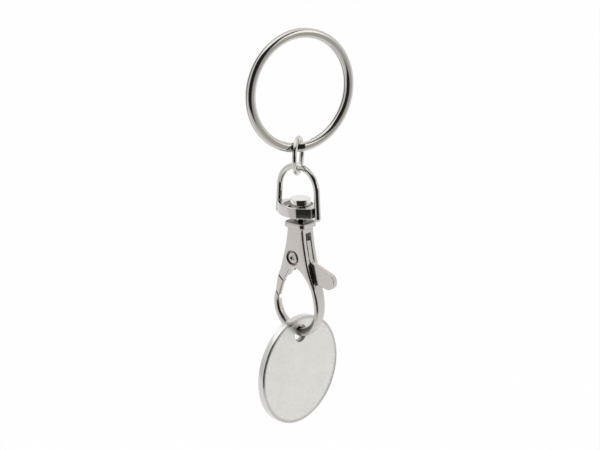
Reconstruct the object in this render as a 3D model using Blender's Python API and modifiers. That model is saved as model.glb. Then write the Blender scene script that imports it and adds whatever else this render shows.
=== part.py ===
"""A key ring with a round trolley token: split ring, jump ring, swivel lobster clasp and token.

Metres, +Z up. The origin is the inner top of the split ring, where the key ring hangs. The clasp lies
flat in the XZ plane with its front cheek towards -Y, its swivel axis is the Z axis, and the token hangs
edge-on to it, in a plane across X. Everything below the split ring is stacked down from it.
"""

import math

import bmesh
import bpy
from mathutils import Matrix, Vector

# Split ring: two turns of flattened wire that step across to each other at the bottom
RING_OUTER_D = 0.0250
RING_STRIP_WIDTH = 0.0019
RING_STRIP_THICKNESS = 0.00080
RING_TURN_GAP = 0.00012
RING_STRIP_ROUNDING = 0.00030
RING_FRONT_END_ANGLE = math.radians(10.6)
RING_BACK_END_ANGLE = math.radians(13.0)
RING_TURN_ANGLE = math.radians(74.0)
RING_STATIONS = 116
RING_CORNER_STEPS = 2
RING_END_SHARES = (0.5, 0.85)

# Jump ring: one closed ring of round wire
JUMP_INNER_D = 0.0061
JUMP_WIRE_D = 0.00100
JUMP_TURN_ANGLE = math.radians(119.0)
JUMP_STATIONS = 40
JUMP_SIDES = 12

# How far the jump ring, the bow and the bar hang to the left of the swivel axis, within the bar's bore
SIDE_PLAY = 0.00060

# Clearances
LINK_GAP = 0.00025
SEAT_GAP = 0.00030
PIN_GAP = 0.00020
CUT_OVERRUN = 0.0010

# Swivel bow: a D of round wire with rounded ends, and a pin through each leg into the bar
BOW_WIRE_D = 0.00125
BOW_HALF_WIDTH = 0.00530
BOW_ARCH_HALF_WIDTH = 0.00495
BOW_HEIGHT = 0.0094
BOW_ARCH_HEIGHT = 0.0048
BOW_LEG_DROP = 0.00127
BOW_END_SHARES = (0.45, 0.8, 1.0)
BOW_PIN_D = 0.00070
BOW_PIN_LENGTH = 0.0012
BOW_ARCH_STEPS = 10
PIN_SIDES = 16

# Swivel bar: lens-shaped plate between the bow's legs, dished round the post's head
BAR_HEIGHT = 0.00225
BAR_HALF_WIDTH = 0.0033
BAR_END_HALF_WIDTH = 0.00125
BAR_END_GAP = 0.00018
BAR_PIVOT_DROP = 0.00037
BAR_DISH_DEPTH = 0.00035
BAR_EDGE_R = 0.00022
BAR_ARC_STEPS = 12

# Post and square collar, cast in one with the hook body
POST_D = 0.0024
HEAD_D = 0.00425
HEAD_HEIGHT = 0.00145
HEAD_EDGE = 0.00018
SWIVEL_PLAY = 0.00115
COLLAR_WIDTH = 0.0049
COLLAR_DEPTH = 0.0046
COLLAR_CORNER_R = 0.00060
COLLAR_HEIGHT = 0.00125
COLLAR_EDGE = 0.00022
TURNED_STEPS = 32

# Hook: its eye, and the band of metal round it. A place counts quarter turns clockwise from the eye's top
EYE_HALF_WIDTH = 0.0049
EYE_OFFSET_X = -0.00028
EYE_UPPER = 0.0083
EYE_LOWER = 0.0049
EYE_HANDLE_SHARES = ((0.60, 0.45), (0.552, 0.552), (0.52, 0.60), (0.15, 0.42))
EYE_NUDGE_SHARE = 0.002
SHOULDER_PLACE = 0.62
SPINE_PLACE = 1.15
BEND_PLACE = 2.0
TIP_INNER_PLACE = 3.16
TIP_OUTER_PLACE = 3.24
SEAM_INNER_PLACE = 3.53
SEAM_OUTER_PLACE = 3.56
SPINE_WIDTH = 0.00112
SPINE_DEPTH = 0.0025
BEND_WIDTH = 0.0019
BEND_DEPTH = 0.0020
TIP_WIDTH = 0.0013
TIP_DEPTH = 0.0016
TIP_FORWARD = 0.00040
LIMB_WIDTH = 0.0018
LIMB_THICKNESS = 0.00060
LIMB_FORWARD = 0.00125
GATE_DEPTH = 0.0012
SHOULDER_DEPTH = 0.0029
HOOK_ROUNDING_SHARE = 0.42
CHEEK_ROUNDING = 0.00030
GATE_GAP = 0.00030
SECTION_CORNER_STEPS = 3
HOOK_STATIONS = 34
GATE_STATIONS = 6

# Hook body between the collar and the eye. Each station's shares: the place on the eye's outline, the side
# of the body, how far down that side, and how near its depth is to the neck's. Left of the eye the body thins
# to a limb that is one cheek only, in front of the lever's arm
NECK_WIDTH = 0.0039
NECK_DEPTH = 0.0036
NECK_TO_EYE = 0.0086
LEFT_HOLLOW = 0.00050
RIGHT_HOLLOW = 0.00050
CHEEK_STATION_SHARES = (
    (-0.40, -1, 0.90, 0.12),
    (-0.34, -1, 0.80, 0.45),
    (-0.28, -1, 0.68, 0.90),
    (-0.22, -1, 0.50, 1.0),
    (-0.18, -1, 0.35, 1.0),
    (-0.14, -1, 0.20, 1.0),
    (-0.08, -1, 0.0, 1.0),
    (0.0, 0, 0.0, 1.0),
    (0.08, 1, 0.0, 1.0),
    (0.16, 1, 0.20, 1.0),
    (0.25, 1, 0.40, 1.0),
    (0.34, 1, 0.60, 1.0),
    (0.43, 1, 0.75, 0.8),
    (0.52, 1, 0.88, 0.4),
)

# Slot through the body for the lever
SLOT_WIDTH = 0.0016
SLOT_TOP_DROP = 0.0010
SLOT_FLOOR_DROP = 0.0116
SLOT_LEFT_DROP = 0.0071
SLOT_WALL_X = 0.0013
SLOT_WALL_DROP = 0.0047

# Thumb lever, which is the gate, its arm and the paddle in one plate
LEVER_THICKNESS = 0.0011
LEVER_EDGE_R = 0.00018
LEVER_EYE_R = 0.00175
PIVOT_X = -0.00060
PIVOT_DROP = 0.0065
TAIL_TOP_DROP = 0.0026
TAIL_WIDTH = 0.00080
TAIL_LENGTH = 0.00145
EDGE_INSET = 0.00008
ARM_INSET = 0.00015
ARM_RECESS = 0.00065
ARM_END_PLACE = 0.40
ARM_EDGE_STEPS = 10
PADDLE_REACH = 0.0094
PADDLE_TIP_R = 0.0017
PADDLE_TIP_DROP = 0.0036
PADDLE_TOP_DROP = 0.00040
PADDLE_LIP = 0.00040

# Rivet that the lever turns on
RIVET_D = 0.0020
RIVET_HEAD_D = 0.0030
RIVET_HEAD_HEIGHT = 0.00040
RIVET_DIMPLE_D = 0.0013
RIVET_DIMPLE_DEPTH = 0.00025
RIVET_SIDES = 28

# Spring between the slot's end wall and the lever's tail
SPRING_D = 0.00115
SPRING_WIRE_D = 0.00020
SPRING_COILS = 3
SPRING_STEPS_PER_COIL = 10

# Token
TOKEN_D = 0.02325
TOKEN_THICKNESS = 0.00160
TOKEN_RIM_WIDTH = 0.00085
TOKEN_FIELD_DEPTH = 0.00012
TOKEN_EDGE_R = 0.00018
TOKEN_HOLE_D = 0.0033
TOKEN_HOLE_FLARE = 0.00022
TOKEN_HOLE_WALL = 0.00195
TOKEN_X = -0.00060
TOKEN_STATIONS = 72

MERGE_DISTANCE = 0.000001
QUARTER = math.radians(90)

# Finishes: colour and roughness of the plated pieces
NICKEL = (0.62, 0.60, 0.57)
POLISHED = 0.14
CAST = 0.18
SPRING_STEEL = (0.55, 0.54, 0.52)

# Levels, from the hang point down the swivel axis
ring_outer_r = RING_OUTER_D / 2
ring_inner_r = ring_outer_r - RING_STRIP_WIDTH
ring_wire_r = (ring_inner_r + ring_outer_r) / 2
ring_z = -ring_inner_r
jump_inner_r = JUMP_INNER_D / 2
jump_wire_r = JUMP_WIRE_D / 2
jump_z = ring_z - ring_inner_r + LINK_GAP - jump_inner_r
jump_low_wire_z = jump_z - jump_inner_r - jump_wire_r
bow_wire_r = BOW_WIRE_D / 2
bow_apex_z = jump_z - jump_inner_r + LINK_GAP + bow_wire_r
bar_pivot_z = bow_apex_z - BOW_HEIGHT
bar_z = bar_pivot_z + BAR_PIVOT_DROP
bar_top_z = bar_z + BAR_HEIGHT / 2
bar_bottom_z = bar_z - BAR_HEIGHT / 2
bar_half_length = BOW_HALF_WIDTH - bow_wire_r - BAR_END_GAP
bar_dish_floor_z = bar_top_z - BAR_DISH_DEPTH
head_underside_z = bar_dish_floor_z + SEAT_GAP
head_top_z = head_underside_z + HEAD_HEIGHT
collar_top_z = bar_bottom_z - SWIVEL_PLAY
collar_bottom_z = collar_top_z - COLLAR_HEIGHT
neck_top_z = collar_bottom_z + COLLAR_HEIGHT / 2
eye_z = collar_bottom_z - NECK_TO_EYE - EYE_UPPER
hook_low_wire_z = eye_z - EYE_LOWER - BEND_WIDTH / 2
pivot_z = collar_bottom_z - PIVOT_DROP
slot_floor_z = collar_bottom_z - SLOT_FLOOR_DROP
tail_top_z = collar_bottom_z - TAIL_TOP_DROP
token_hole_z = eye_z - EYE_LOWER + LINK_GAP - TOKEN_HOLE_D / 2
token_z = token_hole_z + TOKEN_HOLE_D / 2 + TOKEN_HOLE_WALL - TOKEN_D / 2


# Objects, collections and finishes

def clear_scene():
    for old in list(bpy.data.objects):
        bpy.data.objects.remove(old, do_unlink=True)


def new_collection(name):
    made = bpy.data.collections.new(name)
    bpy.context.scene.collection.children.link(made)
    return made


def add_object(name, data, collection, origin=(0, 0, 0), turn=(0, 0, 0)):
    made = bpy.data.objects.new(name, data)
    made.location = origin
    made.rotation_euler = turn
    collection.objects.link(made)
    return made


def adopt(name, collection):
    """Names the primitive that was just added and moves it to its collection."""
    made = bpy.context.object
    made.name = name
    made.data.name = name
    for linked in list(made.users_collection):
        linked.objects.unlink(made)
    collection.objects.link(made)
    return made


def carry(piece, carrier):
    """Parents a piece to what carries it, without moving it."""
    bpy.context.view_layer.update()
    piece.parent = carrier
    piece.matrix_parent_inverse = carrier.matrix_world.inverted()


def as_cutter(cutter):
    cutter.hide_render = True
    cutter.display_type = "WIRE"
    return cutter


def finish(piece, colour, roughness, crease=math.radians(35)):
    made = bpy.data.materials.new(piece.name + "_finish")
    made.use_nodes = True
    shader = made.node_tree.nodes["Principled BSDF"]
    shader.inputs["Base Color"].default_value = (*colour, 1)
    shader.inputs["Metallic"].default_value = 1
    shader.inputs["Roughness"].default_value = roughness
    piece.data.materials.append(made)
    piece.data.shade_smooth()
    piece.data.set_sharp_from_angle(angle=crease)
    return piece


# Shapes

def loft(name, rings):
    """A closed solid through rings of equally many points, with a flat cap on the first and the last."""
    shape = bmesh.new()
    rows = [[shape.verts.new(point) for point in ring] for ring in rings]
    count = len(rows[0])
    for low, high in zip(rows, rows[1:]):
        for i in range(count):
            following = (i + 1) % count
            shape.faces.new((low[i], low[following], high[following], high[i]))
    shape.faces.new(rows[0])
    shape.faces.new(rows[-1])
    bmesh.ops.recalc_face_normals(shape, faces=shape.faces)
    mesh = bpy.data.meshes.new(name)
    shape.to_mesh(mesh)
    shape.free()
    return mesh


def turned(name, profile, collection, origin=(0, 0, 0), turn=(0, 0, 0), steps=TURNED_STEPS):
    """A turned solid: the profile's (radius, height) points run down the outer side, from axis to axis."""
    mesh = bpy.data.meshes.new(name)
    points = [(radius, 0, height) for radius, height in profile]
    mesh.from_pydata(points, [(i, i + 1) for i in range(len(points) - 1)], [])
    made = add_object(name, mesh, collection, origin, turn)
    screw = made.modifiers.new("Turn", "SCREW")
    screw.steps = steps
    screw.render_steps = steps
    screw.use_merge_vertices = True
    screw.merge_threshold = MERGE_DISTANCE
    return made


def mesh_from_curve(curve_object):
    """The curve's solid as a mesh object with its caps welded, in place of the curve."""
    bpy.context.view_layer.update()
    evaluated = curve_object.evaluated_get(bpy.context.evaluated_depsgraph_get())
    mesh = bpy.data.meshes.new_from_object(evaluated)
    shape = bmesh.new()
    shape.from_mesh(mesh)
    bmesh.ops.remove_doubles(shape, verts=shape.verts, dist=MERGE_DISTANCE)
    bmesh.ops.recalc_face_normals(shape, faces=shape.faces)
    shape.to_mesh(mesh)
    shape.free()
    name = curve_object.name
    made = bpy.data.objects.new(name, mesh)
    made.matrix_world = curve_object.matrix_world.copy()
    curve_object.users_collection[0].objects.link(made)
    bpy.data.objects.remove(curve_object, do_unlink=True)
    made.name = name
    mesh.name = name
    return made


def poly_curve(name, points, collection, shares=None, closed=False):
    """A curve object through the points, filled where it is made flat. A share scales its bevel there."""
    curve = bpy.data.curves.new(name, "CURVE")
    curve.dimensions = "3D"
    spline = curve.splines.new("POLY")
    spline.points.add(len(points) - 1)
    for i, point in enumerate(points):
        spline.points[i].co = (*point, 1)
        spline.points[i].radius = shares[i] if shares else 1
    spline.use_cyclic_u = closed
    return add_object(name, curve, collection)


def wire(name, points, thickness, collection, shares=None, detail=2):
    made = poly_curve(name, points, collection, shares)
    made.data.bevel_depth = thickness / 2
    made.data.bevel_resolution = detail
    made.data.use_fill_caps = True
    return mesh_from_curve(made)


def flat_plate(name, outline, thickness, collection, turn=(0, 0, 0)):
    """A plate from an outline in the plane of its object, extruded half its thickness to both sides."""
    made = poly_curve(name, [(x, y, 0) for x, y in outline], collection, closed=True)
    made.data.dimensions = "2D"
    made.data.fill_mode = "BOTH"
    made.data.extrude = thickness / 2
    made.rotation_euler = turn
    plate = mesh_from_curve(made)
    shape = bmesh.new()
    shape.from_mesh(plate.data)
    bmesh.ops.dissolve_limit(
        shape, angle_limit=math.radians(1), verts=shape.verts, edges=shape.edges
    )
    shape.to_mesh(plate.data)
    shape.free()
    plate.data.transform(plate.matrix_world)
    plate.matrix_world = Matrix.Identity(4)
    return plate


def set_origin(piece, origin):
    """Puts the object's origin on its joint's axis and leaves its solid where it is."""
    piece.data.transform(Matrix.Translation(-Vector(origin)))
    piece.location = origin
    return piece


def cylinder(name, radius, length, centre, turn, collection, sides):
    bpy.ops.mesh.primitive_cylinder_add(
        vertices=sides, radius=radius, depth=length, location=centre, rotation=turn
    )
    return adopt(name, collection)


def boolean(piece, other, operation):
    step = piece.modifiers.new(operation.title() + " " + other.name, "BOOLEAN")
    step.object = as_cutter(other)
    step.operation = operation
    step.solver = "EXACT"


def round_edges(piece, radius):
    step = piece.modifiers.new("Edges", "BEVEL")
    step.width = radius
    step.segments = 1
    step.limit_method = "ANGLE"
    step.angle_limit = math.radians(40)


def arc(centre, radius, start, end, steps):
    """Points of an arc in a plane, with angles counted anticlockwise from the first axis."""
    turns = [start + (end - start) * i / steps for i in range(steps + 1)]
    return [(centre[0] + radius * math.cos(a), centre[1] + radius * math.sin(a)) for a in turns]


def lerp(low, high, share):
    return low + (high - low) * share


def smooth_step(share):
    share = min(max(share, 0), 1)
    return share * share * (3 - 2 * share)


def rounded_corners(half_width, half_height, radius, steps):
    """A rounded rectangle's points, as pairs across and up from its middle."""
    points = []
    for quarter, (side, face) in enumerate(((1, 1), (-1, 1), (-1, -1), (1, -1))):
        centre = (side * (half_width - radius), face * (half_height - radius))
        points += arc(centre, radius, QUARTER * quarter, QUARTER * (quarter + 1), steps)
    return points


# Split ring

def ring_offset(angle):
    """How far the strip lies in front of the ring's middle plane, at an angle along its two turns."""
    step_start = -QUARTER + RING_BACK_END_ANGLE
    step_end = -QUARTER - RING_FRONT_END_ANGLE
    layer = (RING_STRIP_THICKNESS + RING_TURN_GAP) / 2
    return layer * (1 - 2 * smooth_step((step_start - angle) / (step_start - step_end)))


def make_split_ring(parts, cutters):
    """Two turns, seen from the front: from the front end clockwise, across to the back, and round again."""
    start = 3 * QUARTER - RING_FRONT_END_ANGLE
    end = -5 * QUARTER + RING_BACK_END_ANGLE
    points = []
    for i in range(RING_STATIONS + 1):
        angle = lerp(start, end, i / RING_STATIONS)
        points.append(
            (ring_wire_r * math.cos(angle), ring_wire_r * math.sin(angle), ring_offset(angle))
        )
    ends = list(RING_END_SHARES)
    shares = ends + [1] * (len(points) - 2 * len(ends)) + ends[::-1]
    section = rounded_corners(
        RING_STRIP_WIDTH / 2, RING_STRIP_THICKNESS / 2, RING_STRIP_ROUNDING, RING_CORNER_STEPS
    )
    section = [(across, up, 0) for across, up in section]
    strip_section = as_cutter(poly_curve("ring_strip_section", section, cutters, closed=True))
    path = poly_curve("split_ring", points, parts, shares)
    path.data.twist_mode = "Z_UP"
    path.data.bevel_mode = "OBJECT"
    path.data.bevel_object = strip_section
    path.data.use_fill_caps = True
    ring = mesh_from_curve(path)
    ring.location = (0, 0, ring_z)
    ring.rotation_euler = (QUARTER, 0, RING_TURN_ANGLE)
    return finish(ring, NICKEL, POLISHED)


# Jump ring

def make_jump_ring(parts):
    """The closed ring, with its origin on the split ring's strip that it swings on."""
    bpy.ops.mesh.primitive_torus_add(
        major_radius=jump_inner_r + jump_wire_r,
        minor_radius=jump_wire_r,
        major_segments=JUMP_STATIONS,
        minor_segments=JUMP_SIDES,
    )
    ring = adopt("jump_ring", parts)
    swing_z = ring_z - ring_wire_r
    ring.data.transform(Matrix.Translation((0, jump_z - swing_z, 0)))
    ring.location = (-SIDE_PLAY, 0, swing_z)
    ring.rotation_euler = (QUARTER, 0, JUMP_TURN_ANGLE)
    return finish(ring, NICKEL, POLISHED)


# Swivel bow

def make_swivel_bow(parts, cutters):
    """One wire from the left leg's rounded end over the arch to the right one, joined by the two pins."""
    leg_end_z = bar_pivot_z - BOW_LEG_DROP
    half = [
        (BOW_HALF_WIDTH, leg_end_z + bow_wire_r * (1 - math.sqrt(1 - share * share)))
        for share in BOW_END_SHARES
    ]
    arch_z = bow_apex_z - BOW_ARCH_HEIGHT
    for i in range(BOW_ARCH_STEPS):
        angle = QUARTER * i / BOW_ARCH_STEPS
        x = BOW_ARCH_HALF_WIDTH * math.cos(angle)
        half.append((x, arch_z + BOW_ARCH_HEIGHT * math.sin(angle)))
    shares = list(BOW_END_SHARES) + [1] * BOW_ARCH_STEPS
    left = [(-x, z) for x, z in half]
    points = [(x, 0, z) for x, z in left + [(0, bow_apex_z)] + half[::-1]]
    bow = wire("swivel_bow", points, BOW_WIRE_D, parts, shares + [1] + shares[::-1])
    set_origin(bow, (0, 0, jump_low_wire_z))
    bow.location.x = -SIDE_PLAY
    inner_x = bar_half_length - BOW_PIN_LENGTH
    for side, name in ((-1, "left"), (1, "right")):
        pin = cylinder(
            f"bow_{name}_pin_to_join",
            BOW_PIN_D / 2,
            BOW_HALF_WIDTH - inner_x,
            (side * (BOW_HALF_WIDTH + inner_x) / 2 - SIDE_PLAY, 0, bar_pivot_z),
            (0, QUARTER, 0),
            cutters,
            PIN_SIDES,
        )
        boolean(bow, pin, "UNION")
    return finish(bow, NICKEL, POLISHED, math.radians(50))


# Swivel bar

def lens_outline():
    """The bar's plan: two arcs through its middle and end widths, cut square at both ends."""
    rise = BAR_HALF_WIDTH - BAR_END_HALF_WIDTH
    radius = (bar_half_length ** 2 + rise ** 2) / (2 * rise)
    reach = math.asin(bar_half_length / radius)
    centre_y = BAR_HALF_WIDTH - radius
    back = arc((0, centre_y), radius, QUARTER - reach, QUARTER + reach, BAR_ARC_STEPS)
    front = arc((0, -centre_y), radius, 3 * QUARTER - reach, 3 * QUARTER + reach, BAR_ARC_STEPS)
    return back + front


def make_swivel_bar(parts, cutters):
    bar = flat_plate("swivel_bar", lens_outline(), BAR_HEIGHT, parts)
    bar.data.transform(Matrix.Translation((0, 0, BAR_PIVOT_DROP)))
    bar.location = (-SIDE_PLAY, 0, bar_pivot_z)
    round_edges(bar, BAR_EDGE_R)
    upright = (0, 0, 0)
    dish_height = BAR_DISH_DEPTH + CUT_OVERRUN
    dish_centre = (-SIDE_PLAY, 0, bar_dish_floor_z + dish_height / 2)
    dish_r = HEAD_D / 2 + SIDE_PLAY + SEAT_GAP
    dish = cylinder(
        "bar_dish_cutter", dish_r, dish_height, dish_centre, upright, cutters, TURNED_STEPS
    )
    boolean(bar, dish, "DIFFERENCE")
    bore_height = BAR_HEIGHT + 2 * CUT_OVERRUN
    bore_centre = (-SIDE_PLAY, 0, bar_z)
    bore_r = POST_D / 2 + SIDE_PLAY + PIN_GAP
    bore = cylinder(
        "bar_bore_cutter", bore_r, bore_height, bore_centre, upright, cutters, TURNED_STEPS
    )
    boolean(bar, bore, "DIFFERENCE")
    hole_length = BOW_PIN_LENGTH + PIN_GAP + CUT_OVERRUN
    hole_x = bar_half_length + CUT_OVERRUN - hole_length / 2
    for side, name in ((-1, "left"), (1, "right")):
        hole = cylinder(
            f"bar_{name}_pin_cutter",
            BOW_PIN_D / 2 + PIN_GAP,
            hole_length,
            (side * hole_x - SIDE_PLAY, 0, bar_pivot_z),
            (0, QUARTER, 0),
            cutters,
            PIN_SIDES,
        )
        boolean(bar, hole, "DIFFERENCE")
    return finish(bar, NICKEL, CAST)


# Outline of the hook, as (x, z) vectors

def eye_point(place):
    """A point of the eye's outline. Places 0, 1, 2 and 3 are its top, right, bottom and left."""
    quadrant = math.floor(place)
    share = place - quadrant
    corners = ((0, EYE_UPPER), (EYE_HALF_WIDTH, 0), (0, -EYE_LOWER), (-EYE_HALF_WIDTH, 0))
    start = Vector(corners[quadrant % 4])
    end = Vector(corners[(quadrant + 1) % 4])
    leave_share, arrive_share = EYE_HANDLE_SHARES[quadrant % 4]
    rest = 1 - share
    point = (
        start * rest ** 3
        + (start + end * leave_share) * (3 * rest ** 2 * share)
        + (end + start * arrive_share) * (3 * rest * share ** 2)
        + end * share ** 3
    )
    return point + Vector((EYE_OFFSET_X, eye_z))


def band_point(place, width):
    """The point that lies a width away from the eye's outline, square to it, in the metal."""
    along = eye_point(place + EYE_NUDGE_SHARE) - eye_point(place - EYE_NUDGE_SHARE)
    outward = Vector((-along.y, along.x)).normalized()
    return eye_point(place) + outward * width


def side_point(side, share):
    """The body's side edge from the collar (share 0) to the hook's band (share 1), a little hollow."""
    neck = Vector((side * NECK_WIDTH / 2, neck_top_z))
    if side > 0:
        band = band_point(SHOULDER_PLACE, SPINE_WIDTH)
        hollow = RIGHT_HOLLOW
    else:
        band = band_point(SEAM_OUTER_PLACE, LIMB_WIDTH)
        hollow = LEFT_HOLLOW
    point = neck.lerp(band, share)
    point.x -= side * hollow * 4 * share * (1 - share)
    return point


def side_point_at(side, z):
    """The point of a side edge at a height."""
    top = side_point(side, 0)
    bottom = side_point(side, 1)
    return side_point(side, (z - top.y) / (bottom.y - top.y))


# Hook body

def section(inner, outer, depth, forward, rounding):
    """A rounded rectangle from an inner to an outer outline point: its depth along Y, its middle forward."""
    along = Vector((outer.x - inner.x, 0, outer.y - inner.y))
    width = along.length
    along.normalize()
    middle = Vector(((inner.x + outer.x) / 2, 0, (inner.y + outer.y) / 2))
    corners = rounded_corners(width / 2, depth / 2, rounding, SECTION_CORNER_STEPS)
    return [middle + along * a + Vector((0, b - forward, 0)) for a, b in corners]


def band_section(inner_place, outer_place, width, depth, forward, round_share):
    full_rounding = HOOK_ROUNDING_SHARE * min(width, depth)
    rounding = lerp(min(CHEEK_ROUNDING, full_rounding), full_rounding, round_share)
    return section(eye_point(inner_place), band_point(outer_place, width), depth, forward, rounding)


def hook_sizes(place):
    """The band's width, depth, way forward and share of full rounding, from the shoulder to the tip."""
    rows = (
        (SHOULDER_PLACE, SPINE_WIDTH, SHOULDER_DEPTH, 0, 0),
        (SPINE_PLACE, SPINE_WIDTH, SPINE_DEPTH, 0, 1),
        (BEND_PLACE, BEND_WIDTH, BEND_DEPTH, 0, 1),
        (TIP_INNER_PLACE, TIP_WIDTH, TIP_DEPTH, TIP_FORWARD, 1),
    )
    for low, high in zip(rows, rows[1:]):
        if place <= high[0]:
            share = smooth_step((place - low[0]) / (high[0] - low[0]))
            return [lerp(a, b, share) for a, b in zip(low[1:], high[1:])]
    return list(rows[-1][1:])


def gap_places(place, width):
    """How many places along the band make up the seam's gap."""
    step = band_point(place + EYE_NUDGE_SHARE, width / 2) - band_point(place, width / 2)
    return GATE_GAP / step.length * EYE_NUDGE_SHARE


def body_sections():
    """The body as one loft round the eye: from the left limb's seam, over the top, to the hook's tip."""
    seam = (SEAM_INNER_PLACE - 4, SEAM_OUTER_PLACE - 4)
    sections = [band_section(*seam, LIMB_WIDTH, LIMB_THICKNESS, LIMB_FORWARD, 0)]
    for inner_place, side, down_share, depth_share in CHEEK_STATION_SHARES:
        outer = side_point(side, down_share) if side else Vector((0, neck_top_z))
        depth, forward = (LIMB_THICKNESS, LIMB_FORWARD) if side < 0 else (SHOULDER_DEPTH, 0)
        depth = lerp(depth, NECK_DEPTH, depth_share)
        forward = lerp(forward, 0, depth_share)
        rounding = min(CHEEK_ROUNDING, HOOK_ROUNDING_SHARE * depth)
        sections.append(section(eye_point(inner_place), outer, depth, forward, rounding))
    for i in range(HOOK_STATIONS + 1):
        share = i / HOOK_STATIONS
        place = lerp(SHOULDER_PLACE, TIP_INNER_PLACE, share)
        slant = (TIP_OUTER_PLACE - TIP_INNER_PLACE) * smooth_step(place - BEND_PLACE)
        sections.append(band_section(place, place + slant, *hook_sizes(place)))
    return sections


def make_post(cutters):
    """Head and post, turned in one, which the hook body takes in."""
    profile = [
        (0, head_top_z),
        (HEAD_D / 2 - HEAD_EDGE, head_top_z),
        (HEAD_D / 2, head_top_z - HEAD_EDGE),
        (HEAD_D / 2, head_underside_z),
        (POST_D / 2, head_underside_z),
        (POST_D / 2, neck_top_z),
        (0, neck_top_z),
    ]
    return turned("post_to_join", profile, cutters)


def make_collar(cutters):
    """The square flange between the post and the cheeks, with rounded corners."""
    outline = rounded_corners(
        COLLAR_WIDTH / 2, COLLAR_DEPTH / 2, COLLAR_CORNER_R, SECTION_CORNER_STEPS
    )
    collar = flat_plate("collar_to_join", outline, COLLAR_HEIGHT, cutters)
    collar.location = (0, 0, collar_bottom_z + COLLAR_HEIGHT / 2)
    round_edges(collar, COLLAR_EDGE)
    return collar


def slot_outline():
    """The slot in the XZ plane: open to the right and, below the pivot, to the left and to the eye."""
    reach = 2 * EYE_HALF_WIDTH
    slot_top_z = collar_bottom_z - SLOT_TOP_DROP
    left_z = collar_bottom_z - SLOT_LEFT_DROP
    eye_wall = arc((PIVOT_X, pivot_z), LEVER_EYE_R + SEAT_GAP, 1.5 * QUARTER, 2 * QUARTER, 4)
    return [
        (reach, slot_top_z),
        (-SLOT_WALL_X, slot_top_z),
        (-SLOT_WALL_X, collar_bottom_z - SLOT_WALL_DROP),
        *eye_wall,
        (eye_wall[-1][0], left_z),
        (-reach, left_z),
        (-reach, eye_z),
        (EYE_OFFSET_X - EYE_HALF_WIDTH / 2, eye_z),
        (EYE_OFFSET_X, slot_floor_z),
        (reach, slot_floor_z),
    ]


def make_hook_body(parts, cutters):
    body = add_object("hook_body", loft("hook_body", body_sections()), parts)
    set_origin(body, (0, 0, collar_top_z))
    boolean(body, make_collar(cutters), "UNION")
    boolean(body, make_post(cutters), "UNION")
    across = (QUARTER, 0, 0)
    slot = flat_plate("lever_slot_cutter", slot_outline(), SLOT_WIDTH, cutters, across)
    boolean(body, slot, "DIFFERENCE")
    pivot = (PIVOT_X, 0, pivot_z)
    hole_r = RIVET_D / 2 + PIN_GAP
    hole_length = NECK_DEPTH + 2 * CUT_OVERRUN
    hole = cylinder("rivet_hole_cutter", hole_r, hole_length, pivot, across, cutters, RIVET_SIDES)
    boolean(body, hole, "DIFFERENCE")
    seat_length = RIVET_HEAD_HEIGHT + PIN_GAP + CUT_OVERRUN
    seat_y = NECK_DEPTH / 2 + CUT_OVERRUN - seat_length / 2
    for side, name in ((-1, "front"), (1, "back")):
        seat = cylinder(
            f"rivet_{name}_seat_cutter",
            RIVET_HEAD_D / 2 + SEAT_GAP,
            seat_length,
            (PIVOT_X, side * seat_y, pivot_z),
            across,
            cutters,
            RIVET_SIDES,
        )
        boolean(body, seat, "DIFFERENCE")
    return finish(body, NICKEL, CAST)


# Thumb lever

def lever_outline():
    """The plate's outline, anticlockwise: tail, pivot eye, gate arm, along the eye's edge, and paddle."""
    pivot = (PIVOT_X, pivot_z)
    edge = Vector((EDGE_INSET, 0))
    tail = side_point_at(1, tail_top_z) - edge
    tail_left_x = tail.x - TAIL_WIDTH
    points = [tuple(tail), (tail_left_x, tail_top_z), (tail_left_x, tail_top_z - TAIL_LENGTH)]
    points += arc(pivot, LEVER_EYE_R, 0.8 * QUARTER, 2.35 * QUARTER, 9)
    arm_top_z = collar_bottom_z - SLOT_LEFT_DROP - SEAT_GAP
    seam_outer = side_point(-1, 1)
    for z in (arm_top_z, (arm_top_z + seam_outer.y) / 2, seam_outer.y):
        points.append(tuple(side_point_at(-1, z) + edge))
    gate_place = (SEAM_INNER_PLACE + TIP_INNER_PLACE) / 2
    points.append(tuple(band_point(gate_place, LIMB_WIDTH / 2)))
    arm_start = SEAM_INNER_PLACE - 4
    for i in range(ARM_EDGE_STEPS + 1):
        place = lerp(arm_start, ARM_END_PLACE, i / ARM_EDGE_STEPS)
        inset = lerp(ARM_INSET, ARM_RECESS, smooth_step(place / arm_start))
        points.append(tuple(band_point(place, inset)))
    floor_z = slot_floor_z + SEAT_GAP
    root = side_point_at(1, floor_z)
    points.append((root.x - SPINE_WIDTH, floor_z))
    tip = (PADDLE_REACH - PADDLE_TIP_R, pivot_z - PADDLE_TIP_DROP)
    points.append((root.x + PADDLE_LIP, floor_z))
    points += arc(tip, PADDLE_TIP_R, -1.1 * QUARTER, 0.8 * QUARTER, 9)
    points.append(tuple(side_point_at(1, pivot_z - PADDLE_TOP_DROP) + edge))
    points.append(tuple(side_point_at(1, pivot_z) - edge))
    return points


def gate_sections():
    """The gate block, as wide and deep as the band, between its two slanted seams."""
    low = gap_places(TIP_INNER_PLACE, TIP_WIDTH)
    high = gap_places(SEAM_INNER_PLACE, LIMB_WIDTH)
    sections = []
    for i in range(GATE_STATIONS + 1):
        share = i / GATE_STATIONS
        inner = lerp(TIP_INNER_PLACE + low, SEAM_INNER_PLACE - high, share)
        outer = lerp(TIP_OUTER_PLACE + low, SEAM_OUTER_PLACE - high, share)
        width = lerp(TIP_WIDTH, LIMB_WIDTH, share)
        front = lerp(TIP_FORWARD + TIP_DEPTH / 2, LIMB_FORWARD + LIMB_THICKNESS / 2, share)
        sections.append(band_section(inner, outer, width, GATE_DEPTH, front - GATE_DEPTH / 2, 0))
    return sections


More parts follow.
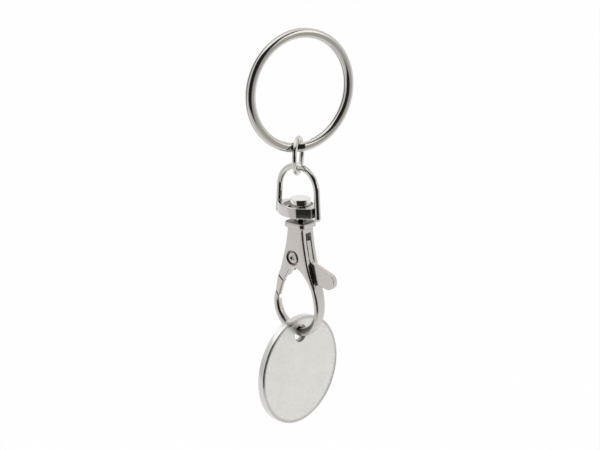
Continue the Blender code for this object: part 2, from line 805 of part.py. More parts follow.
def make_thumb_lever(parts, cutters):
    across = (QUARTER, 0, 0)
    lever = flat_plate("thumb_lever", lever_outline(), LEVER_THICKNESS, parts, across)
    pivot = (PIVOT_X, 0, pivot_z)
    set_origin(lever, pivot)
    round_edges(lever, LEVER_EDGE_R)
    gate = add_object("gate_block_to_join", loft("gate_block", gate_sections()), cutters)
    boolean(lever, gate, "UNION")
    hole_r = RIVET_D / 2 + PIN_GAP
    hole_length = LEVER_THICKNESS + 2 * CUT_OVERRUN
    hole = cylinder("lever_hole_cutter", hole_r, hole_length, pivot, across, cutters, RIVET_SIDES)
    boolean(lever, hole, "DIFFERENCE")
    return finish(lever, NICKEL, CAST)


# Rivet

def make_pivot_rivet(parts):
    """A shank with a dimpled head in each cheek, turned about the lever's axis."""
    half = NECK_DEPTH / 2
    upper = [
        (0, half - RIVET_DIMPLE_DEPTH),
        (RIVET_DIMPLE_D / 2 - RIVET_DIMPLE_DEPTH, half - RIVET_DIMPLE_DEPTH),
        (RIVET_DIMPLE_D / 2, half),
        (RIVET_HEAD_D / 2, half),
        (RIVET_HEAD_D / 2, half - RIVET_HEAD_HEIGHT),
        (RIVET_D / 2, half - RIVET_HEAD_HEIGHT),
    ]
    profile = upper + [(radius, -height) for radius, height in upper[::-1]]
    pivot = (PIVOT_X, 0, pivot_z)
    rivet = turned("pivot_rivet", profile, parts, pivot, (QUARTER, 0, 0), RIVET_SIDES)
    return finish(rivet, NICKEL, CAST)


# Lever spring

def least_gap(points, thickness, skip):
    """The least clear distance between points of a wire that lie at least skip points apart."""
    spots = [Vector(point) for point in points]
    distances = [
        (spots[i] - spots[j]).length
        for i in range(len(spots))
        for j in range(i + skip, len(spots))
    ]
    return min(distances) - thickness


def make_lever_spring(parts):
    """A compression coil along X, between the slot's end wall and the lever's tail."""
    end_gap = SPRING_WIRE_D / 2 + PIN_GAP
    start_x = -SLOT_WALL_X + end_gap
    end_x = side_point_at(1, tail_top_z).x - EDGE_INSET - TAIL_WIDTH - end_gap
    centre_z = tail_top_z - SPRING_D / 2
    coil_r = (SPRING_D - SPRING_WIRE_D) / 2
    total = SPRING_COILS * SPRING_STEPS_PER_COIL
    points = []
    for i in range(total + 1):
        angle = 4 * QUARTER * i / SPRING_STEPS_PER_COIL
        x = lerp(start_x, end_x, i / total)
        points.append((x, coil_r * math.cos(angle), centre_z + coil_r * math.sin(angle)))
    gap = least_gap(points, SPRING_WIRE_D, SPRING_STEPS_PER_COIL // 2)
    print(f"lever_spring: the least gap between its turns is {gap * 1000:.2f} mm")
    spring = wire("lever_spring", points, SPRING_WIRE_D, parts, detail=1)
    set_origin(spring, (start_x, 0, centre_z))
    return finish(spring, SPRING_STEEL, CAST, math.radians(60))


# Token

def make_coin_token(parts, cutters):
    """A turned disc with raised rims and flat fields, holed near its top, carried by an empty on its joint."""
    half = TOKEN_THICKNESS / 2
    edge_r = TOKEN_D / 2
    field_r = edge_r - TOKEN_RIM_WIDTH
    upper = [
        (0, half - TOKEN_FIELD_DEPTH),
        (field_r - TOKEN_FIELD_DEPTH, half - TOKEN_FIELD_DEPTH),
        (field_r, half),
        (edge_r - TOKEN_EDGE_R, half),
        (edge_r, half - TOKEN_EDGE_R),
    ]
    profile = upper + [(radius, -height) for radius, height in upper[::-1]]
    facing = (0, QUARTER, 0)
    middle = (TOKEN_X, 0, token_z)
    token = turned("coin_token", profile, parts, middle, facing, TOKEN_STATIONS)
    hole_r = TOKEN_HOLE_D / 2
    outside = half + CUT_OVERRUN
    flare_r = hole_r + TOKEN_HOLE_FLARE
    upper = [(0, outside), (flare_r, outside), (flare_r, half), (hole_r, half - TOKEN_HOLE_FLARE)]
    profile = upper + [(radius, -height) for radius, height in upper[::-1]]
    hole = turned("token_hole_cutter", profile, cutters, (TOKEN_X, 0, token_hole_z), facing)
    boolean(token, hole, "DIFFERENCE")
    swing = add_object("token_swing", None, parts, (TOKEN_X, 0, hook_low_wire_z))
    carry(token, swing)
    carry(hole, swing)
    finish(token, NICKEL, CAST)
    return swing


def main():
    clear_scene()
    parts = new_collection("Token key ring")
    cutters = new_collection("Cutters")
    split_ring = make_split_ring(parts, cutters)
    jump_ring = make_jump_ring(parts)
    bow = make_swivel_bow(parts, cutters)
    bar = make_swivel_bar(parts, cutters)
    body = make_hook_body(parts, cutters)
    carry(jump_ring, split_ring)
    carry(bow, jump_ring)
    carry(bar, bow)
    carry(body, bar)
    for piece in (
        make_pivot_rivet(parts),
        make_thumb_lever(parts, cutters),
        make_lever_spring(parts),
        make_coin_token(parts, cutters),
    ):
        carry(piece, body)


main()
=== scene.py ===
# A nickel key ring with a round trolley token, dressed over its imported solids. Lengths are metres. The clasp
# lies flat in the XZ plane with its front cheek towards -Y, and the token hangs edge-on to it.

import bmesh
import bpy
import numpy as np
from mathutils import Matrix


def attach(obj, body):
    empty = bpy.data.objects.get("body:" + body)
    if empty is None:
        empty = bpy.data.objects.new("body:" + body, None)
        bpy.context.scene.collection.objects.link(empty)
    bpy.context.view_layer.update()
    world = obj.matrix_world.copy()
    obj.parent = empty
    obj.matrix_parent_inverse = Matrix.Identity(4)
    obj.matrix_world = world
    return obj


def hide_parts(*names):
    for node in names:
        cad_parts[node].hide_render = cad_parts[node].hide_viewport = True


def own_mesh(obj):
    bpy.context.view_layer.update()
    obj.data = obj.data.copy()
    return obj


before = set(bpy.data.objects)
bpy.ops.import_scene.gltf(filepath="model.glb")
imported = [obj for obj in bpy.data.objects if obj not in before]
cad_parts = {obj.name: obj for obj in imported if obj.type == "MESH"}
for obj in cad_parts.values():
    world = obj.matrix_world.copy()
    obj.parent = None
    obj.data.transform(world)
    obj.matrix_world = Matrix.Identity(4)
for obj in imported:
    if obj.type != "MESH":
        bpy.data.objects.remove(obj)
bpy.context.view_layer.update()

QUARTER = np.pi / 2
UP = np.array([0, 0, 1])

# How finely the shapes are divided: stations along a path, sides round a section or a turned piece, and steps
# in an arc
ring_stations = 900
strip_face_steps = 9
strip_tight_steps = 6
strip_half_points = 33
jump_stations = 240
bow_arch_steps = 90
bow_coarse_stations = 60
bow_stations = 420
wire_sides = 28
bow_sides = 32
pin_sides = 24
bar_stations = 480
edge_steps = 7
post_sides = 128
collar_corner_steps = 9
left_cheek_stations = 60
neck_stations = 17
right_cheek_stations = 70
hook_stations = 220
gate_stations = 40
section_corner_steps = 7
slot_arc_steps = 14
rivet_sides = 96
lever_eye_steps = 30
arm_stations = 60
paddle_tip_steps = 40
spring_stations = 300
spring_sides = 12
token_sides = 360
token_hole_sides = 96
sweep_bend_steps = 24
sweep_columns = 12

# Limits of the arithmetic
nudge = 0.002
tiny = 1e-9
weld_gap = 1e-7
touch = 0.00001
least_slant = 0.1
most_stretch_share = 0.45

# Split ring: the strip, the turn of the ring about Z, and its two ends' angles from the lowest point
ring_mid_r = 0.01155
ring_z = -0.0106
ring_half_width = 0.00095
ring_half_thickness = 0.00040
ring_turn_gap = 0.00012
ring_soft_r = 0.00064
ring_tight_r = 0.00008
ring_face_lean = np.radians(10)
ring_end_r = 0.0005
ring_end_least_share = 0.35
ring_turn = np.radians(74.0)
ring_front_end = np.radians(9.6)
ring_back_end = np.radians(13.0)
ring_step_start = np.radians(4.0)
ring_turn_over_share = 0.85

# Jump ring and bow, which hang to the left of the swivel axis
hang_x = -0.0006
jump_z = -0.0240
jump_mid_r = 0.00355
jump_wire_r = 0.0005
jump_turn = np.radians(119.0)
bow_wire_r = 0.000625
bow_apex_z = -0.026175
bow_pivot_z = -0.035575
bow_leg_end_z = -0.036845
bow_leg_x = 0.00530
bow_arch_x = 0.00495
bow_arch_rise = 0.0048
bow_smoothing = 0.0001
bow_pin_r = 0.00035
bow_pin_length = 0.0012
bow_end_least_share = 0.12

# Swivel bar, with one shallow flat at its front right and one at its back left
bar_half_length = 0.004495
bar_half_width = 0.0033
bar_end_half_width = 0.00125
bar_top_z = -0.03408
bar_bottom_z = -0.03633
bar_dish_r = 0.00295
bar_dish_z = -0.03458
bar_bore_r = 0.0020
bar_edge_r = 0.00022
bar_chamfer = 0.00008
bar_facet_turn = np.radians(-55.5)
bar_facet_reach = 0.00358

# Post with its peened head: each corner's radius and height, and how far its rounding reaches
head_top_z = -0.03268
head_low_z = -0.03413
head_r = 0.002125
post_r = 0.0012
collar_top_z = -0.03748
post_low_z = collar_top_z - 0.0003
post_profile = np.array([
    (0, head_top_z - 0.00006, 0),
    (0.35 * head_r, head_top_z - 0.00004, 0.0002),
    (0.6 * head_r, head_top_z - 0.00001, 0.0002),
    (0.8 * head_r, head_top_z, 0.0002),
    (head_r, head_top_z - 0.00004, 0.00013),
    (head_r, head_low_z, 0.00012),
    (post_r, head_low_z, 0.0001),
    (post_r, post_low_z, 0.0001),
    (0, post_low_z, 0),
])

# Collar
collar_low_z = -0.03873
collar_half_width = 0.0026
collar_half_depth = 0.00245
collar_corner_r = 0.0010
collar_least_corner_r = 0.00015
collar_top_r = 0.00042
collar_low_r = 0.00028
collar_neck_in = 0.00030
collar_lid_in = 0.0012

# Hook: its eye, and the band of metal round it. A place counts quarter turns clockwise from the eye's top
eye_centre = np.array([-0.00028, -0.05563])
eye_half_width = 0.0049
eye_upper = 0.0083
eye_lower = 0.0049
eye_handles = np.array([(0.60, 0.45), (0.552, 0.552), (0.52, 0.60), (0.15, 0.42)])
shoulder_place = 0.62
spine_place = 1.15
bend_place = 2.0
tip_inner_place, tip_outer_place = 3.16, 3.24
seam_inner_place, seam_outer_place = 3.53, 3.56
spine_width, spine_depth = 0.00112, 0.0025
bend_width, bend_depth = 0.0019, 0.0020
tip_width, tip_depth, tip_forward = 0.0013, 0.0016, 0.0004
limb_width, limb_thickness, limb_forward = 0.0018, 0.0006, 0.00125
gate_depth = 0.0012
gate_gap = 0.0003
shoulder_depth = 0.0029
cheek_rounding = 0.0004
full_round_share = 0.42
neck_half_width = 0.00195
neck_depth = 0.0036
neck_top_z = -0.038105
side_hollow = 0.0005

# Stations of the cheeks on either side of the neck: the place on the eye's outline, the share of the way down
# the body's side edge, and the share of the neck's full depth
cheek_top_place = 0.08
left_stations = np.array([
    (seam_inner_place - 4, 1, 0), (-0.40, 0.90, 0.12), (-0.34, 0.80, 0.45), (-0.28, 0.68, 0.90),
    (-0.22, 0.50, 1), (-0.18, 0.35, 1), (-0.14, 0.20, 1), (-cheek_top_place, 0, 1),
])
right_stations = np.array([
    (cheek_top_place, 0, 1), (0.16, 0.20, 1), (0.25, 0.40, 1), (0.34, 0.60, 1), (0.43, 0.75, 0.8),
    (0.52, 0.88, 0.4), (shoulder_place, 1, 0),
])

# Slot for the lever, and the holes for its rivet
pivot = np.array([-0.0006, -0.04523])
slot_width = 0.0016
slot_wall_x = -0.0013
slot_top_z = collar_low_z - 0.0010
slot_wall_z = collar_low_z - 0.0047
slot_left_z = collar_low_z - 0.0071
slot_floor_z = -0.05033
slot_eye_r = 0.00205
slot_end_x = (-0.0014, 0.0001)
slot_end_low_z = pivot[1] + 0.001
slot_pale_low_z = slot_floor_z + 0.0001
rivet_hole_r = 0.0012
rivet_seat_r = 0.00162
rivet_seat_y = neck_depth / 2 - 0.0006
overrun = 0.001

# Thumb lever: tail, pivot eye, gate arm and paddle
lever_thickness = 0.0011
lever_edge_r = 0.00024
lever_inset = 0.00008
lever_edge_steps = 4
lever_eye_r = 0.00175
lever_eye_arc = (0.8 * QUARTER, 2.35 * QUARTER)
tail_z = collar_low_z - 0.0026
tail_width = 0.0008
tail_length = 0.00145
arm_top_z = collar_low_z - 0.0074
arm_end_place = 0.40
arm_recess = 0.00062
arm_ease_share = 0.8
paddle_floor_z = slot_floor_z + 0.0003
paddle_lip = 0.0004
paddle_top_drop = 0.0004
paddle_tip = np.array([0.0077, -0.04883])
paddle_tip_r = 0.0017
paddle_tip_arc = (-1.1 * QUARTER, 0.8 * QUARTER)

# Rivet: each corner's radius and height in one half, from the middle of the dimple to the shank
rivet_half = neck_depth / 2
rivet_rounding = 0.00005
rivet_profile = np.array([
    (0, rivet_half - 0.00042),
    (0.00034, rivet_half - 0.00038),
    (0.00050, rivet_half - 0.00010),
    (0.00066, rivet_half - 0.00001),
    (0.00084, rivet_half),
    (0.00104, rivet_half - 0.00005),
    (0.00116, rivet_half - 0.00014),
    (0.00120, rivet_half - 0.00055),
    (0.0010, rivet_half - 0.00055),
])

# Spring between the slot's end wall and the lever's tail
spring_start_x = -0.001
spring_end_drop = 0.00118
spring_z = tail_z - 0.000575
spring_coil_r = 0.000475
spring_wire_r = 0.0001
spring_coils = 3

# Token: each corner's radius and height in one half, and how far its rounding reaches. The field is sunk, and
# a fine groove runs by the edge. The hole's tool flares to a narrow ledge at both faces
token_x = -0.0006
token_z = -0.069955
token_r = 0.011625
token_half = 0.0008
token_sunk = token_half - 0.00008
token_rim_r = token_r - 0.00062
token_profile = np.array([
    (0, token_sunk, 0),
    (token_rim_r - 0.00030, token_sunk, 0.0001),
    (token_rim_r, token_half, 0.00008),
    (token_r - 0.00036, token_half, 0.00003),
    (token_r - 0.00032, token_sunk, 0.00002),
    (token_r - 0.00023, token_sunk, 0.00002),
    (token_r - 0.00017, token_half - 0.00001, 0.00003),
    (token_r, token_half - 0.00018, 0.00008),
])
token_hole_z = -0.06193
token_hole_r = 0.00165
token_hole_profile = np.array([
    (0, token_half + overrun),
    (token_hole_r + 0.00026, token_half + overrun),
    (token_hole_r + 0.00024, token_half - 0.00016),
    (token_hole_r + 0.00012, token_half - 0.00017),
    (token_hole_r, token_half - 0.00039),
])
token_rim_from_r = token_r - 0.0007
token_flat_least = 0.97
# Reach of the painted shade round the hole
token_hole_shade_r = token_hole_r + 0.0004
token_hole_shade_x = token_half - 0.0001


# Curves and sections, as whole arrays

def mix(low, high, share):
    """low + (high - low) * share."""
    return low + (high - low) * share


def eased(share):
    """3s^2 - 2s^3 on a share held between 0 and 1."""
    share = np.clip(share, 0, 1)
    return share * share * (3 - 2 * share)


def full_turn(steps):
    """Evenly spaced angles of one whole turn, without its end."""
    return np.linspace(0, 4 * QUARTER, steps, endpoint=False)


def arc(centre, radius, start, end, steps):
    """centre + radius * (cos, sin) of evenly spaced angles."""
    turn = np.linspace(start, end, steps)[:, None]
    return np.asarray(centre) + radius * np.hstack([np.cos(turn), np.sin(turn)])


def eye_point(place):
    """The eye's outline at each place: a cubic Bezier per quarter, whose two inner points lean from the
    quarter's ends towards each other's axis by the handle shares."""
    place = np.atleast_1d(np.asarray(place, float))
    quarter = np.floor(place).astype(int)
    t = (place - quarter)[:, None]
    corners = np.array([(0, eye_upper), (eye_half_width, 0), (0, -eye_lower), (-eye_half_width, 0)])
    start = corners[quarter % 4]
    end = corners[(quarter + 1) % 4]
    leave, arrive = eye_handles[quarter % 4].T[:, :, None]
    curve = (
        start * (1 - t) ** 3
        + (start + end * leave) * 3 * (1 - t) ** 2 * t
        + (end + start * arrive) * 3 * (1 - t) * t ** 2
        + end * t ** 3
    )
    return curve + eye_centre


def band_point(place, width):
    """The eye's outline plus a width times its outward normal, which is the chord of a small step turned
    through a right angle."""
    along = eye_point(np.asarray(place) + nudge) - eye_point(np.asarray(place) - nudge)
    outward = np.stack([-along[:, 1], along[:, 0]], axis=1)
    outward /= np.linalg.norm(outward, axis=1, keepdims=True)
    return eye_point(place) + outward * np.reshape(width, (-1, 1))


def side_point(side, share):
    """The body's side edge: the straight line from neck to band, drawn in by 4 * hollow * s * (1 - s)."""
    share = np.atleast_1d(np.asarray(share, float))[:, None]
    neck = np.array([side * neck_half_width, neck_top_z])
    foot = (shoulder_place, spine_width) if side > 0 else (seam_outer_place, limb_width)
    point = mix(neck, band_point(*foot)[0], share)
    point[:, 0] -= side * side_hollow * 4 * (share * (1 - share))[:, 0]
    return point


def side_at(side, z):
    """The side edge's point at a height."""
    top, low = side_point(side, (0, 1))
    return side_point(side, (z - top[1]) / (low[1] - top[1]))[0]


def rounded_section(half_a, half_b, radius, steps, low_stretch=1, high_stretch=1):
    """Points round a rounded rectangle, one row per station: each corner's centre lies a radius inside, and
    an arc of a quarter turn goes round it. The stretches lengthen the arcs along the first axis, at its low
    and its high end."""
    half_a, half_b, radius, low, high = (
        np.reshape(v, (-1, 1)) for v in (half_a, half_b, radius, low_stretch, high_stretch)
    )
    turn = (np.arange(4)[:, None] * QUARTER + np.linspace(0, QUARTER, steps)).ravel()
    sign_a = np.repeat([1, -1, -1, 1], steps)
    sign_b = np.repeat([1, 1, -1, -1], steps)
    long_r = radius * np.where(sign_a > 0, high, low)
    across = sign_a * (half_a - long_r) + long_r * np.cos(turn)
    up = sign_b * (half_b - radius) + radius * np.sin(turn)
    return across, up


def carried(path, across_axis, up_axis, across, up):
    """Every path point plus the section's two sizes times the two section axes of that point."""
    across, up = np.atleast_2d(across), np.atleast_2d(up)
    return (
        path[:, None, :]
        + across[:, :, None] * np.reshape(across_axis, (-1, 1, 3))
        + up[:, :, None] * np.reshape(up_axis, (-1, 1, 3))
    )


def round_wire(path, across_axis, up_axis, radius, steps, full=1):
    """A circle carried along the path, its radius times how full the wire is at each point."""
    turn = full_turn(steps)
    across, up = radius * np.cos(turn) * full, radius * np.sin(turn) * full
    return carried(path, across_axis, up_axis, across, up)


def running_length(path):
    """How far along the line each point lies, summed over its chords."""
    step = np.linalg.norm(np.diff(path, axis=0), axis=1)
    return np.concatenate([[0], np.cumsum(step)])


def spaced(path, count):
    """The same line with its points a like distance apart, read off its running length."""
    run = running_length(path)
    even = np.linspace(0, run[-1], count)
    return np.stack([np.interp(even, run, path[:, i]) for i in range(path.shape[1])], axis=1)


def end_rounding(path, radius, least):
    """How full the section is at each point: sqrt(1 - (1 - d / radius)^2) for its distance d from an end."""
    run = running_length(path)
    near = np.clip(np.minimum(run, run[-1] - run) / radius, 0, 1)
    return np.maximum(np.sqrt(1 - (1 - near) ** 2), least)[:, None]


def round_path(points, radii, steps):
    """A line with its corners rounded: each corner's arc is a quadratic curve between points a radius away
    along its two sides, with the corner as the middle handle."""
    points = np.asarray(points, float)
    radii = np.broadcast_to(radii, len(points))
    t = np.linspace(0, 1, steps)[:, None]
    pieces = [points[:1]]
    for before, corner, after, radius in zip(points, points[1:], points[2:], radii[1:]):
        back = before - corner
        on = after - corner
        start = corner + back / np.linalg.norm(back) * radius
        end = corner + on / np.linalg.norm(on) * radius
        pieces.append(start * (1 - t) ** 2 + corner * 2 * t * (1 - t) + end * t ** 2)
    pieces.append(points[-1:])
    return np.concatenate(pieces)


def both_halves(profile):
    """A half profile and then its mirror image below height 0, run backwards. Roundings keep their sign."""
    return np.concatenate([profile, profile[::-1] * np.array([1, -1, 1])[:profile.shape[1]]])


def turned(profile, steps):
    """A profile of (radius, height) points turned about Z: (r cos u, r sin u, h)."""
    turn = full_turn(steps)
    radius, height = profile[:, :1], profile[:, 1:2]
    height = np.broadcast_to(height, (len(profile), steps))
    return np.stack([radius * np.cos(turn), radius * np.sin(turn), height], axis=2)


def across_x(grid, x, z):
    """A shape turned about Z laid along X instead, about the point (x, z)."""
    return np.stack([grid[..., 2] + x, grid[..., 0], grid[..., 1] + z], axis=-1)


def across_y(grid, x, z):
    """A shape turned about Z laid along Y instead, about the point (x, z)."""
    return np.stack([grid[..., 0] + x, grid[..., 2], grid[..., 1] + z], axis=-1)


def flat_to_world(points, y):
    """(x, z) points as world points at a depth y."""
    return np.stack([points[..., 0], np.broadcast_to(y, points.shape[:-1]), points[..., 1]], axis=-1)


def slab(outline, thickness):
    """An (x, z) outline as two rows, half the thickness to either side of the XZ plane."""
    return np.stack([flat_to_world(outline, side * thickness / 2) for side in (-1, 1)])


def upright_ring(turn, angle):
    """For a ring that stands upright, turned about Z: its outward directions at the angles, and its axis."""
    plane = np.array([np.cos(turn), np.sin(turn), 0])
    axis = np.array([np.sin(turn), -np.cos(turn), 0])
    return np.cos(angle)[:, None] * plane + np.sin(angle)[:, None] * UP, axis


def monotone(x, knots, values):
    """A smooth curve through the knots that never overshoots: cubic pieces whose slopes are the harmonic
    mean of the two chords, or nought where these differ in sign."""
    gap = np.diff(knots)
    chord = np.diff(values) / gap
    with np.errstate(divide="ignore", invalid="ignore"):
        inner = np.where(chord[:-1] * chord[1:] > 0, 2 / (1 / chord[:-1] + 1 / chord[1:]), 0)
    slope = np.concatenate([[chord[0]], inner, [chord[-1]]])
    i = np.clip(np.searchsorted(knots, x) - 1, 0, len(gap) - 1)
    t = (x - knots[i]) / gap[i]
    return (
        values[i] * (1 + 2 * t) * (1 - t) ** 2
        + slope[i] * gap[i] * t * (1 - t) ** 2
        + values[i + 1] * t * t * (3 - 2 * t)
        + slope[i + 1] * gap[i] * t * t * (t - 1)
    )


# Meshes

def surface(name, grid, closed_rows=False):
    """Each cell of the grid becomes a face, its columns run round, and open ends get a lid."""
    rows, columns = grid.shape[:2]
    index = np.arange(rows * columns).reshape(rows, columns)
    index = np.concatenate([index, index[:, :1]], axis=1)
    if closed_rows:
        index = np.concatenate([index, index[:1]])
    corners = [index[:-1, :-1], index[:-1, 1:], index[1:, 1:], index[1:, :-1]]
    faces = np.stack(corners, axis=-1).reshape(-1, 4).tolist()
    if not closed_rows:
        faces += [index[0, :-1].tolist(), index[-1, :-1].tolist()]
    mesh = bpy.data.meshes.new(name)
    mesh.from_pydata(grid.reshape(-1, 3).tolist(), [], faces)
    shape = bmesh.new()
    shape.from_mesh(mesh)
    bmesh.ops.remove_doubles(shape, verts=shape.verts, dist=weld_gap)
    bmesh.ops.recalc_face_normals(shape, faces=shape.faces)
    shape.to_mesh(mesh)
    shape.free()
    made = bpy.data.objects.new(name, mesh)
    bpy.context.scene.collection.objects.link(made)
    return made


def settle(piece):
    """Keeps what the piece's modifiers make as its own mesh."""
    bpy.context.view_layer.update()
    evaluated = piece.evaluated_get(bpy.context.evaluated_depsgraph_get())
    mesh = bpy.data.meshes.new_from_object(evaluated)
    piece.modifiers.clear()
    piece.data = mesh


def cut_or_join(piece, other, operation):
    """Takes the other shape away from the piece, or joins it on, and keeps the result as the piece's mesh."""
    step = piece.modifiers.new(operation, "BOOLEAN")
    step.object = other
    step.operation = operation
    step.solver = "EXACT"
    settle(piece)
    bpy.data.objects.remove(other, do_unlink=True)


def dress(piece, material, body, node=None, crease=32):
    """Smooths what isn't a real edge, evens the flats' normals, and gives the piece its metal and body."""
    piece.data.materials.clear()
    piece.data.materials.append(material)
    piece.data.shade_smooth()
    piece.data.set_sharp_from_angle(angle=np.radians(crease))
    even = piece.modifiers.new("Even flats", "WEIGHTED_NORMAL")
    even.keep_sharp = True
    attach(piece, body)
    if node:
        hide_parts(node)
    return piece


def faces_of(piece):
    """The middle and the normal of every face, as two arrays."""
    count = len(piece.data.polygons)
    centre, normal = np.empty(count * 3), np.empty(count * 3)
    piece.data.polygons.foreach_get("center", centre)
    piece.data.polygons.foreach_get("normal", normal)
    return centre.reshape(-1, 3), normal.reshape(-1, 3)


def give(piece, material, chosen):
    """Puts one more material on the chosen faces."""
    piece.data.materials.append(material)
    index = np.empty(len(piece.data.polygons), np.int32)
    piece.data.polygons.foreach_get("material_index", index)
    index[chosen] = len(piece.data.materials) - 1
    piece.data.polygons.foreach_set("material_index", index)


# Metals

cloud_scale, dent_scale, fine_scale, grain_scale = 260, 700, 2600, 5200
dent_height, grain_height = 0.0001, 0.00002
edge_wear_r = 0.00009
tint_low, tint_high = 0.955, 1.03
# Occlusion values between which the painted shade in crevices fades from its darkest to none
closed_in, open_out = 0.25, 0.85
rough_low, rough_high = 0.8, 1.25


def add_node(tree, kind, sockets=None, **settings):
    """A node with its settings, whose sockets are each given a value or joined to another node's output."""
    node = tree.nodes.new(kind)
    for name, value in settings.items():
        setattr(node, name, value)
    for socket, value in (sockets or {}).items():
        if isinstance(value, bpy.types.NodeSocket):
            tree.links.new(value, node.inputs[socket])
        else:
            node.inputs[socket].default_value = value
    return node


def plated(name, colour, roughness, grain, dent, painted_shade_reach, painted_shade_dark, alone=False, metal=1):
    """Nickel plate: the base colour wanders a little and is darkened in the crevices by a painted shade drawn
    from ambient occlusion, the roughness has a fine grain, and two noises of unlike size lift the surface.
    Alone means that only the piece's own shape makes crevices for the painted shade."""
    made = bpy.data.materials.new(name)
    made.use_nodes = True
    tree = made.node_tree
    shader = tree.nodes["Principled BSDF"]
    shader.inputs["Metallic"].default_value = metal
    place = add_node(tree, "ShaderNodeTexCoord").outputs["Object"]

    def noise(scale, detail):
        sockets = {"Vector": place, "Scale": scale, "Detail": detail}
        return add_node(tree, "ShaderNodeTexNoise", sockets).outputs["Fac"]

    tint = add_node(tree, "ShaderNodeMix", {
        "Factor": noise(cloud_scale, 3),
        "A": (*[c * tint_low for c in colour], 1),
        "B": (*[min(1, c * tint_high) for c in colour], 1),
    }, data_type="RGBA")
    shade_probe = add_node(
        tree, "ShaderNodeAmbientOcclusion", {"Distance": painted_shade_reach}, samples=8, only_local=alone
    )
    painted_shade = add_node(tree, "ShaderNodeMapRange", {
        "Value": shade_probe.outputs["AO"],
        "From Min": closed_in, "From Max": open_out,
        "To Min": painted_shade_dark, "To Max": 1.0,
    })
    shade = add_node(tree, "ShaderNodeVectorMath", {
        "Vector": tint.outputs["Result"], "Scale": painted_shade.outputs["Result"],
    }, operation="SCALE")
    rough = add_node(tree, "ShaderNodeMapRange", {
        "Value": noise(fine_scale, 4),
        "From Min": 0.3, "From Max": 0.7,
        "To Min": roughness * rough_low, "To Max": roughness * rough_high,
    })
    edge = add_node(tree, "ShaderNodeBevel", {"Radius": edge_wear_r}, samples=6)
    dents = add_node(tree, "ShaderNodeBump", {
        "Strength": dent, "Distance": dent_height,
        "Height": noise(dent_scale, 2), "Normal": edge.outputs["Normal"],
    })
    grains = add_node(tree, "ShaderNodeBump", {
        "Strength": grain, "Distance": grain_height,
        "Height": noise(grain_scale, 3), "Normal": dents.outputs["Normal"],
    })
    tree.links.new(shade.outputs["Vector"], shader.inputs["Base Color"])
    tree.links.new(rough.outputs["Result"], shader.inputs["Roughness"])
    tree.links.new(grains.outputs["Normal"], shader.inputs["Normal"])
    return made


# Each metal's colour, roughness, grain, dents, and how far the painted shade in its crevices reaches and how
# dark it gets
wire_nickel = plated("nickel_on_wire", (0.61, 0.592, 0.56), 0.12, 0.10, 0.03, 0.0006, 0.25)
cast_nickel = plated("nickel_on_casting", (0.585, 0.552, 0.522), 0.20, 0.30, 0.08, 0.0005, 0.30)
# The collar's painted shade reaches far and goes nearly black: a painted shadow over its top under the bar
collar_nickel = plated("nickel_on_collar", (0.585, 0.552, 0.522), 0.16, 0.30, 0.08, 0.0028, 0.06)
post_nickel = plated("nickel_on_post", (0.79, 0.77, 0.74), 0.13, 0.15, 0.06, 0.0006, 0.10)
# The bar's painted shade goes nearly black: a painted shadow in its dish round the head
bar_nickel = plated("nickel_on_bar", (0.62, 0.60, 0.57), 0.17, 0.45, 0.12, 0.0010, 0.05, True)
token_nickel = plated("nickel_on_token", (0.815, 0.808, 0.771), 0.46, 0.06, 0.01, 0.0003, 0.2, True)
rim_nickel = plated("nickel_on_token_rim", (0.54, 0.529, 0.508), 0.20, 0.10, 0.02, 0.0003, 0.2, True)
# Painted shade: a dark paint for the ledge and wall round the hole
hole_painted_shade = plated("painted_shade_round_token_hole", (0.34, 0.33, 0.315), 0.25, 0.10, 0.02, 0.0003, 0.2, True)
edge_nickel = plated("nickel_on_token_edge", (0.66, 0.65, 0.625), 0.17, 0.10, 0.02, 0.0003, 0.2, True)
# Painted light: a near-white, almost matt paint for the slot's walls and upper end, where light gathers
slot_painted_light = plated("painted_light_in_slot", (0.85, 0.86, 0.86), 0.60, 0.30, 0.08, 0.0003, 0.8, metal=0.05)
spring_steel = plated("spring_wire", (0.55, 0.54, 0.52), 0.28, 0.2, 0.05, 0.0006, 0.15)


# Split ring: two turns of flattened wire that step across to each other at the bottom

def strip_section(side):
    """The flattened wire's section, (across, up) points: a shallow arc over the face that shows, soft corners
    at its two edges, and a flat face with tight corners against the other turn. It is laid out in equal steps
    of a closed loop from the middle of the outer edge, and the side says which way the round face looks."""
    lean = ring_face_lean
    face_r = (ring_half_width - ring_soft_r * (1 - np.sin(lean))) / np.sin(lean)
    crown = ring_half_thickness - face_r

    def bend(middle, radius, start, end, steps):
        """middle + radius * (sin, cos), angles from straight up."""
        turn = np.linspace(start, end, steps)
        return np.asarray(middle) + radius * np.stack([np.sin(turn), np.cos(turn)], axis=1)

    face = bend((0, crown), face_r, lean, 0, strip_face_steps)
    soft_middle = face[0] - ring_soft_r * np.array([np.sin(lean), np.cos(lean)])
    soft = bend(soft_middle, ring_soft_r, QUARTER, lean, strip_face_steps)[:-1]
    tight_middle = (ring_half_width - ring_tight_r, ring_tight_r - ring_half_thickness)
    tight = bend(tight_middle, ring_tight_r, 2 * QUARTER, QUARTER, strip_tight_steps)
    line = np.concatenate([[(0, -ring_half_thickness)], tight, soft, face[1:]])
    half = spaced(line, strip_half_points)
    loop = np.concatenate([half, half[-2:0:-1] * np.array([-1, 1])])
    if side < 0:
        loop = np.roll(loop[::-1] * np.array([1, -1]), len(half), axis=0)
    return loop


